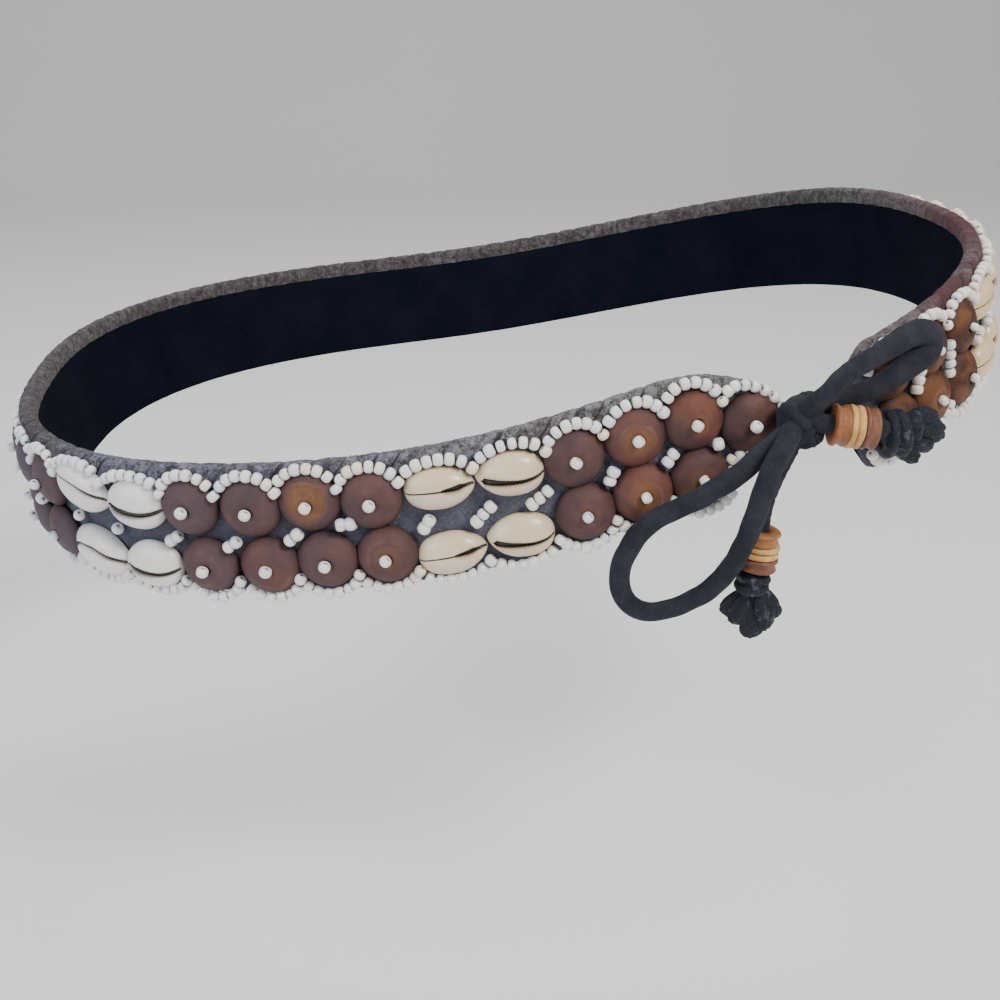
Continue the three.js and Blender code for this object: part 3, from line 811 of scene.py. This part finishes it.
# beads by place and thread direction (both in the room), joined as one piece
def stringBeads(name, beads, seed, scale=1.0):
    rng = random.Random(seed)
    places, tones = [], []
    for place, direction in beads:
        axes = threaded(direction + np.array([rng.uniform(-0.16, 0.16) for _ in range(3)]), (0.3, 0.2, 1.0))
        size = rng.uniform(0.93, 1.07) * scale
        jitter = np.array([rng.uniform(-0.1, 0.1) for _ in range(3)])
        places.append((place + jitter, axes, (size, size, size * rng.uniform(0.88, 1.04))))
        # yellower at the right end and bluer round the left side, painted warm and cool light over a random
        # tone
        shift = max(0.0, (place[0] - 118) * 0.04) - max(0.0, (-place[0] - 85) * 0.012)
        tones.append(min(1.0, max(0.0, rng.random() + shift)))
    points, faces = stamp(beadPoints, beadFaces, places)
    facts = {"tone": np.repeat(tones, len(beadPoints)), "hole": np.tile(beadHoles, len(beads))}
    addMesh(name, points, faces, beadWhite, facts=facts)
    print(name, len(beads), "beads")


# arcs along the band for the top (1) or bottom (-1) row: start, end, row height, crest, valley
def beadArcs(sign):
    arcs = []
    lower = 0 if sign > 0 else bead["bottomDrop"]
    for group in range(panels):
        start = group * period
        for column in range(columnsOf(group)):
            a = start + column * pitch
            b = a + pitch
            # the first and the last arc reach out to the ends of the band
            a -= 1.7 if group == 0 and column == 0 else 0
            b += 0.5 if b > discsLength - 1 else 0
            left, up = disc["nudged"].get((group, column, int(sign < 0)), (0.0, 0.0))
            if sign > 0 or column or group:
                b = min(b, bandEnd + 0.6)
                follow = 0.5 if sign < 0 and up < 0 else 1.0
                raised = bead["frontRaise"] if sign > 0 and group == 0 and column < 2 else 0.0
                row = belt["discRow"] + sign * up * follow + lower + raised
                arcs.append((a + left * 0.5, b + left * 0.3, row, bead["discCrest"], bead["discValley"]))
        if group < panels - 1:
            a = start + columns * pitch
            half = belt["shellGroup"] / 2
            for k in (0, 1):
                row = (belt["shellTop"] if sign > 0 else -belt["shellBottom"]) + lower
                row += 1.4 if (sign, group, k) == (1, 1, 1) else 0.0
                arcs.append((a + k * half, a + (k + 1) * half, row, bead["shellCrest"], bead["shellValley"]))
    return arcs


def scallop(sign):
    beads = []
    arcs = beadArcs(sign)
    n = bead["perArc"]
    for i, (a, b, row, crest, valley) in enumerate(arcs):
        half, middle = (b - a) / 2, (a + b) / 2
        wide = half / math.sqrt(1 - (valley / crest) ** 2)
        t = np.linspace(-1, 1, 200) * math.asin(half / wide)
        x, y = wide * np.sin(t), crest * np.cos(t)
        s = lengthsAlong(np.stack([x, y], 1))
        even = np.linspace(0, s[-1], n + 1)
        x, y = np.interp(even, s, x), np.interp(even, s, y)
        rise = row + y
        # neighbouring arcs share the bead in the valley between them
        if i > 0:
            rise[0] = (row + valley + arcs[i - 1][2] + arcs[i - 1][4]) / 2 - 0.35
        for k in range(n + 1 if i == len(arcs) - 1 else n):
            edge = min(k, n - k)
            away = 1.75 if sign > 0 else 1.45
            away += (0.95, 0.35, 0.25 if y[k] > crest * 0.9 else 0.1)[min(edge, 2)]
            d = min(max(middle + x[k], bandStart + 0.3), bandEnd - 0.6)
            away -= 0.4 if sign > 0 and 195 < d < 680 else 0
            nextTo = max(k - 1, 0), min(k + 1, n)
            behind, ahead = (bandPoints(middle + x[j], sign * rise[j], away) for j in nextTo)
            beads.append((bandPoints(d, sign * rise[k], away), ahead - behind))
    if sign < 0:
        # the row runs up beside the last lower disc and on below the single disc of the slanted corner
        row = [bandPoints(d, h, 1.7) for d, h in bead["corner"]]
        beads += [(b, c - a) for a, b, c in zip(row[:1] + row, row, row[1:] + row[-1:])]
    return beads


stitches = dict(
    # lean in degrees by panel and column; the rest lean at random, and have two beads
    lean={(0, 1): 0, (0, 2): 47, (0, 3): 63, (1, 1): 0, (1, 2): 34, (1, 3): 27, (8, 1): 86, (8, 2): 68},
    many={(0, 1): 1, (8, 1): 4, (8, 2): 3}, spacing=2.55,
    # how far left and up some of them sit, in mm
    nudged={(0, 1): (2.3, 1.3), (0, 2): (-0.2, -0.2), (1, 2): (-1.8, -0.1), (1, 3): (-0.8, -1.8),
            (1, 1): (-0.2, 2.4), (8, 1): (-0.2, 1.9), (8, 2): (-1.9, 2.3)},
    extra=[(802.6, -2.4)],
    # stitches round the shells, and those of the second group: how far left, height, lean and count
    shells=[(13.7, -0.8, 54, 2), (-0.5, -0.9, 44, 3), (-14.8, -0.2, 34, 3)],
    secondShells=[(13.6, 0.4, 60, 1), (-0.4, -0.6, 50, 1), (-17.8, -1.2, 24, 2)],
)


def sewStitches():
    beads = []
    rng = random.Random(12)

    def row(distance, height, lean, count, away):
        place, axes = seat(distance, height, away)
        direction = turned(math.radians(lean))[0] @ axes
        for k in range(count):
            beads.append((place + direction * (k - (count - 1) / 2) * stitches["spacing"], direction))

    for group in range(panels):
        for column in range(1, columnsOf(group)):
            at = (group, column)
            lean = stitches["lean"].get(at, rng.uniform(5, 60))
            left, up = stitches["nudged"].get(at, (0.0, 0.0))
            distance = group * period + column * pitch + left
            row(distance, up, lean, stitches["many"].get(at, 2), 2.9)
        if group < panels - 1:
            middle = group * period + columns * pitch + belt["shellGroup"] / 2
            for left, height, lean, count in stitches["secondShells" if group == 1 else "shells"]:
                row(middle + left, height, lean + rng.uniform(-5, 5), count, 2.0)
    for distance, height in stitches["extra"]:
        place = bandPoints(distance, height, 2.2)
        beads.append((place, bandPoints(distance + 1, height + 1, 2.2) - place))
    stringBeads("stitchBeads", beads, 31, bead["stitchScale"])


# one bead over each disc's hole, its own hole turned up to the right
def sewCentreBeads():
    near, far = [], []
    rng = random.Random(19)
    top = max(z for r, z in disc["profile"])
    for group in range(panels):
        for column, row, distance, height in discPlaces(group):
            place, axes = seat(distance, height, disc["base"] + top)
            side = 95 <= distance <= 420
            lean = math.radians(rng.uniform(62, 100) if side and distance > 185 else rng.uniform(25, 70))
            tip = axes[0] * math.cos(lean) + axes[1] * math.sin(lean)
            direction = tip * 0.95 + axes[2] * (rng.uniform(-0.1, 0.12) if side else rng.uniform(0.12, 0.36))
            direction /= np.linalg.norm(direction)
            middle = place - tip * rng.uniform(0.15, 0.6) + axes[1] * 0.4 + axes[2] * 0.8
            (far if group == panels - 1 else near).append((middle, direction))
    stringBeads("centreBeads", near, 37, bead["centreScale"])
    stringBeads("centreBeadsRight", far, 38, bead["farScale"])


stringBeads("topScallop", scallop(1), 23)
stringBeads("bottomScallop", scallop(-1), 29)
sewStitches()
sewCentreBeads()

# toggles
toggle = dict(
    radius=5.3, hole=2.5, half=1.76, pitch=3.65, slant={"lower": 8, "right": 0},
    lower=[(51.5, -101.7, -19.8), (51.5, -101.7, -27.1)], right=[(67.9, -104.6, 9.7), (75.1, -105.4, 8.9)],
    # dark, light and streak of each wood
    toggleOrange=[(0.17, 0.058, 0.022), (0.31, 0.12, 0.05), (0.38, 0.17, 0.075)],
    toggleAmber=[(0.2, 0.078, 0.024), (0.37, 0.17, 0.058), (0.42, 0.22, 0.085)],
    toggleBrown=[(0.11, 0.042, 0.024), (0.2, 0.08, 0.044), (0.28, 0.13, 0.075)],
    toggleTan=[(0.42, 0.22, 0.07), (0.69, 0.42, 0.155), (0.33, 0.14, 0.045)],
)


def woodFinish(name):
    dark, light, streak = toggle[name]
    f = Finish(name, light, 0.5, Coat_Weight=0.06, Coat_Roughness=0.4, Specular_IOR_Level=0.3)
    around, rings = f.noise(260, 3, 0.6, None, 0.6), f.noise(1000, 4, 0.7)
    base = f.lay(dark, light, around, 0.3, 0.7)
    f.paint(f.lay(base, streak, rings, 0.5, 0.7, 0, 0.45))
    f.bump(around, 0.2, 0.0004)
    f.bump(rings, 0.2, 0.0002)
    return f.material


def threadToggles():
    woods = {name: woodFinish(name) for name in ("toggleOrange", "toggleAmber", "toggleBrown", "toggleTan")}
    r, hole, h = toggle["radius"], toggle["hole"], toggle["half"]
    spool = [(hole, -h), (r - 0.55, -h), (r - 0.12, -h + 0.25), (r, -h + 0.75), (r - 0.25, -0.75),
             (r - 0.6, -0.1), (r - 0.6, 0.35), (r - 0.2, h - 0.75), (r - 0.02, h - 0.35), (r - 0.4, h),
             (hole, h)]
    thin = [(hole, -h), (r - 0.5, -h), (r - 0.05, -h + 0.3), (r + 0.1, -h + 0.85), (r - 0.05, -0.42),
            (r - 0.9, -0.1), (r - 0.9, 0.08), (r - 0.1, 0.38), (r + 0.05, h - 0.85), (r - 0.05, h - 0.3),
            (r - 0.55, h), (hole, h)]
    for side, first in (("lower", "toggleAmber"), ("right", "toggleOrange")):
        start, end = (np.array(p) for p in toggle[side])
        axes = threaded(end - start, (0.1, 1.0, 0.2))
        along = axes[2] * toggle["pitch"]
        axes = leaned(math.radians(toggle["slant"][side])) @ axes
        for i, (profile, wood) in enumerate(((spool, first), (thin, "toggleTan"), (spool, "toggleBrown"))):
            points, faces = lathe(profile, 40, True)
            angle = np.arctan2(points[:, 1], points[:, 0])
            points[:, :2] *= (1 + 0.012 * np.sin(2 * angle + i * 2) + 0.008 * np.sin(5 * angle + i))[:, None]
            made, madeFaces = stamp(points, faces, [(start + along * i, axes, 1.0)])
            name, node, slot = f"toggle{side.capitalize()}{i + 1}", f"toggle_{side}_{i + 1}", "brown_wood"
            addMesh(name, made, madeFaces, woods[wood], [node])


threadToggles()
print("toggles threaded")


# knots: angles of the points of a ball, from pole to pole and around
def ballAngles(rows, columns):
    return np.meshgrid(np.linspace(0.001, np.pi - 0.001, rows), ringAngles(columns), indexing="ij")


def lumpShape(centre, size, seed, depth, axes=np.eye(3)):
    theta, phi = ballAngles(26, 32)
    r = random.Random(seed)
    bulge = np.zeros_like(theta)
    for _ in range(8):
        wave = r.uniform(0.4, 1) * np.sin(r.randint(1, 5) * phi + r.uniform(0, 6))
        bulge += wave * np.sin(r.randint(1, 4) * theta)
    ball = np.stack([np.sin(theta) * np.cos(phi), np.sin(theta) * np.sin(phi), np.cos(theta)], -1)
    points = ball * (1 + bulge / 8 * depth)[..., None] * size
    return points.reshape(-1, 3) @ axes + centre, gridFaces(26, 32, closeColumns=True)[:, ::-1]


def ringLine(centre, across, upward, wide, tall, skew, normal):
    t = np.linspace(0, 2 * np.pi, 61)[:-1]
    flat = np.outer(np.cos(t) * wide, across) + np.outer(np.sin(t) * tall, upward)
    return centre + flat + np.outer(np.sin(t + 0.6) * skew, normal)


# the bow's knot: a core, two crossing turns of the cord and two roots that come off the band
def tieKnot():
    knot = np.array(bow["knot"])
    out = np.array([0.35, -0.93, 0.0])
    along = np.array([0.93, 0.35, 0.0])
    up = np.array([0.0, 0.0, 1.0])
    parts = [lumpShape(knot, (5.3, 4.5, 6.9), 3, 0.12)]
    turns = [
        # middle, tilt in degrees, half width out of the face, half height, radius, seed
        (knot + along * 0.4 + up * 0.6, 24, 2.6, 5.0, 2.5, 5),
        (knot + along * -0.9 - up * 0.3, -34, 2.7, 4.2, 2.3, 6),
        (knot + along * 1.9 - up * 3.2, 58, 2.9, 2.6, 2.3, 7),
    ]
    for centre, tilt, wide, tall, radius, seed in turns:
        t = math.radians(tilt)
        upward, skew = up * math.cos(t) + along * math.sin(t), along * math.cos(t) - up * math.sin(t)
        line = ringLine(centre, out, upward, wide, tall, 0.8, skew)
        parts.append(tube(line, radius, 16, velvetPush(seed, 0.12)))
    roots = ([(60.6, -91.6, 1.2), (62.2, -93.2, 4.4), (61.4, -98.0, 8.2), (60.0, -99.6, 9.6)],
             [(79.6, -86.6, 5.7), (76.0, -88.7, 7.2), (69.0, -93.2, 8.8), (62.0, -98.6, 9.6)])
    for i, root in enumerate(roots):
        parts.append(tube(smoothLine(root), 1.9, 14, velvetPush(40 + i, 0.07)))
    points, faces = joinParts(parts)
    addMesh("bowKnot", points, faces, velvet, ["tie_knot"])


# the far ends of the two tails: the cord's soft cover is bunched up into crumpled folds beyond a tight collar
crumple = dict(
    color=(0.0085, 0.0118, 0.0205), dark=(0.0035, 0.0045, 0.008), glint=(0.08, 0.08, 0.122),
    # collars: middle, size and lean; folds: where each begins and ends, how wide and how thick
    lower={"collar": (50.7, -101.8, -32.7), "size": (4.1, 3.7, 2.7), "lean": -6, "folds":
           [((49.4, -101.8, -34.6), (44.6, -101.2, -42.2), 3, 0.55),
           ((50, -102.4, -34.2), (46.6, -102.4, -44.2), 3.1, 0.5),
           ((50.8, -101.8, -34.2), (51.8, -101.8, -48.6), 4, 0.5),
           ((51.4, -102.5, -34.2), (55.6, -102.2, -46.2), 3.4, 0.5),
           ((51.6, -101.6, -34.4), (58.6, -101, -43.4), 3, 0.55),
           ((50.8, -100.6, -34), (51.4, -99.4, -45.6), 4.6, 0.6),
           ((52, -103.2, -35), (53.4, -103.6, -43), 1.9, 0.7)]},
    right={"collar": (83, -103.3, 6.4), "size": (3.2, 4.4, 6), "lean": 4, "folds":
           [((84, -102, 8.6), (96.6, -96.6, 8.2), 3, 0.8),
           ((84.2, -102.4, 6.2), (99, -96.6, 4), 3.5, 0.8),
           ((84.4, -103, 4), (95.6, -98.4, 1.4), 2.9, 0.8),
           ((83.6, -103.6, 3.4), (90.6, -101.6, -0.6), 2.9, 0.8),
           ((85, -101, 6), (94, -95.2, 5), 4, 0.7),
           ((84, -104, 8), (90, -102.8, 7.4), 3.6, 0.8)]},
)


def crumpleFinish():
    f = Finish("crumpledCordEnd", crumple["color"], 0.6, Sheen_Weight=0.05, Sheen_Tint=(0.55, 0.64, 0.9, 1),
               Specular_IOR_Level=0.25)
    crease, fine = f.noise(220, 4, 0.7), f.noise(900, 4, 0.7)
    base = f.lay(crumple["dark"], crumple["color"], crease, 0.35, 0.7)
    base = f.lay(base, crumple["glint"], f.noise(330, 3, 0.6), 0.6, 0.7, 0, 0.8)
    f.paint(f.lay(base, (0.055, 0.062, 0.085), fine, 0.6, 0.78, 0, 0.4))
    f.bump(crease, 1.0, 0.0018)
    f.bump(fine, 0.5, 0.0005)
    return f.material


# a soft fold from the collar to its tip: a lobe pinched along sharp creases
def foldShape(root, tip, width, thick, seed):
    r = random.Random(seed)
    length = np.linalg.norm(tip - root)
    run = (tip - root) / length
    side = np.cross((0.1, -0.98, 0.15), run)
    side /= np.linalg.norm(side)
    theta, phi = ballAngles(34, 36)
    crease = np.zeros_like(theta)
    for _ in range(7):
        wave = r.randint(2, 6) * phi + r.uniform(-3, 3) * theta * 2 + r.uniform(0, 6)
        crease -= r.uniform(0.4, 1) * (1 - np.abs(np.sin(wave / 2))) ** 2.5
    for _ in range(4):
        wave = r.uniform(0.2, 0.6) * np.sin(r.randint(1, 3) * phi + r.uniform(0, 6))
        crease += wave * np.sin(r.randint(1, 3) * theta)
    scale = 1 + 0.12 * crease
    down = (1 - np.cos(theta)) / 2
    swell = np.sin(theta) ** 0.75 * (0.7 + 0.55 * down) * width * scale
    points = root + np.outer(down * length * 1.06 + (scale - 1) * 2.5, run)
    points = points + np.outer(swell * np.cos(phi), side)
    points = points + np.outer(swell * np.sin(phi) * thick, np.cross(run, side))
    return points, gridFaces(34, 36, closeColumns=True)[:, ::-1]


def crumpleEnds():
    finish = crumpleFinish()
    for number, name in enumerate(("Lower", "Right")):
        end = crumple[name.lower()]
        collar, size = np.array(end["collar"]), np.array(end["size"])
        tilt = leaned(math.radians(end["lean"]))
        parts = [lumpShape(collar, size * 0.96, len(name), 0.16, tilt)]
        # two turns wound round the collar
        thin = int(np.argmin(size))
        across, other = [k for k in (0, 1, 2) if k != thin]
        for turn, shift in ((0, -0.42), (1, 0.42)):
            middle = collar + tilt[thin] * size[thin] * shift
            wide, tall = size[across] * 0.74, size[other] * 0.74
            ring = ringLine(middle, tilt[across], tilt[other], wide, tall, 0.5 - turn, tilt[thin])
            parts.append(tube(ring, size[thin] * 0.56, 14, velvetPush(61 + turn, 0.1)))
        for k, (root, tip, width, thick) in enumerate(end["folds"]):
            parts.append(foldShape(np.array(root), np.array(tip), width, thick, 31 * k + len(name)))
        points, faces = joinParts(parts)
        addMesh(f"crumpledEnd{name}", points, faces, finish, [f"tail_knot_{name.lower()}"])


tieKnot()
crumpleEnds()


def tieBow():
    inside = {
        "lowerLoop": ([(57.4, -102.6, 8.0), (54.0, -103.6, 6.4)], [(53.2, -108.2, 5.6), (57.4, -103.0, 9.4)]),
        "upperLoop": ([(59.6, -103.2, 13.4), (60.8, -105.8, 16.0)],
                      [(65.2, -99.6, 13.6), (61.0, -100.4, 11.6)]),
        "lowerTail": ([(58.6, -101.5, 6.5), (57.4, -101.8, 3.6)], [(51.8, -101.7, -31.5)]),
        "rightTail": ([(54.8, -100.6, 11.0), (59.5, -102.6, 10.6)], [(84.6, -103.4, 7.0)]),
    }
    lower, right = ([f"toggle{side}{i}" for i in (1, 2, 3)] + ["crumpledEnd" + side]
                    for side in ("Lower", "Right"))
    cords = [("bowLoopLower", "lowerLoop", "tie_loop_lower", "object", "hanging", []),
             ("bowLoopUpper", "upperLoop", "tie_loop_upper", "object", "loose", []),
             ("bowTailLower", "lowerTail", "tie_tail_lower", "knot", "hanging", lower),
             ("bowTailRight", "rightTail", "tie_tail_right", "knot", "loose", right)]
    for seed, (name, run, node, farEnd, lay, pieces) in enumerate(cords, 1):
        radius = bow["loopRadius" if "Loop" in run else "tailRadius"]
        # the upper loop is squashed wider where it turns back, so only a thin slit stays open
        swell = bow["turnSwell"] if run == "upperLoop" else 0
        route = inside[run][0] + bow[run] + inside[run][1]
        layCord(name, route, radius, node, seed, swell)


tieBow()
print("bow tied")

# floor and light
studio = dict(
    floorDrop=-0.17, wallBehind=1.5, curve=0.9, wallHeight=3.2, floor=(0.8, 0.8, 0.79), world=0.5,
    # name, place, size, power and colour of each light
    lights=[("key", (0.62, -0.8, 0.95), 0.45, 17.0, (1.0, 0.95, 0.88)),
            ("fill", (-0.95, -0.7, 0.45), 0.9, 8.0, (0.86, 0.93, 1.0)),
            ("top", (-0.1, 0.3, 1.25), 0.9, 9.0, (1.0, 1.0, 1.0))],
)


# a floor that curves up into a wall far behind, so that no seam shows
def lightStudio():
    f = Finish("paleFloor", studio["floor"], 0.9)
    f.paint(f.mix(f.noise(4, 3, 0.5), (0.785, 0.785, 0.78), (0.815, 0.815, 0.81)))
    z, r, wall, curve = studio["floorDrop"], 5.0, studio["wallBehind"], studio["curve"]
    turn = np.linspace(0, np.pi / 2, 13)
    side = [(-r, z)] + [(wall + curve * math.sin(t), z + curve * (1 - math.cos(t))) for t in turn]
    side.append((wall + curve, z + studio["wallHeight"]))
    n = len(side)
    mesh = bpy.data.meshes.new("floor")
    faces = [(i, n + i, n + i + 1, i + 1) for i in range(n - 1)]
    mesh.from_pydata([(x, y, h) for x in (-r, r) for y, h in side], [], faces)
    mesh.polygons.foreach_set("use_smooth", [True] * (n - 1))
    mesh.materials.append(f.material)
    floor = bpy.data.objects.new("floor", mesh)
    bpy.context.scene.collection.objects.link(floor)
    world = bpy.data.worlds.new("studio")
    world.use_nodes = True
    background = world.node_tree.nodes["Background"].inputs
    background["Color"].default_value = (0.96, 0.98, 1.0, 1)
    background["Strength"].default_value = studio["world"]
    bpy.context.scene.world = world
    for name, place, size, power, colour in studio["lights"]:
        light = bpy.data.lights.new(name, "AREA")
        light.shape, light.size, light.energy, light.color = "DISK", size, power, colour
        setUp(name, light, place, -Vector(place))


lightStudio()
print("studio lit")
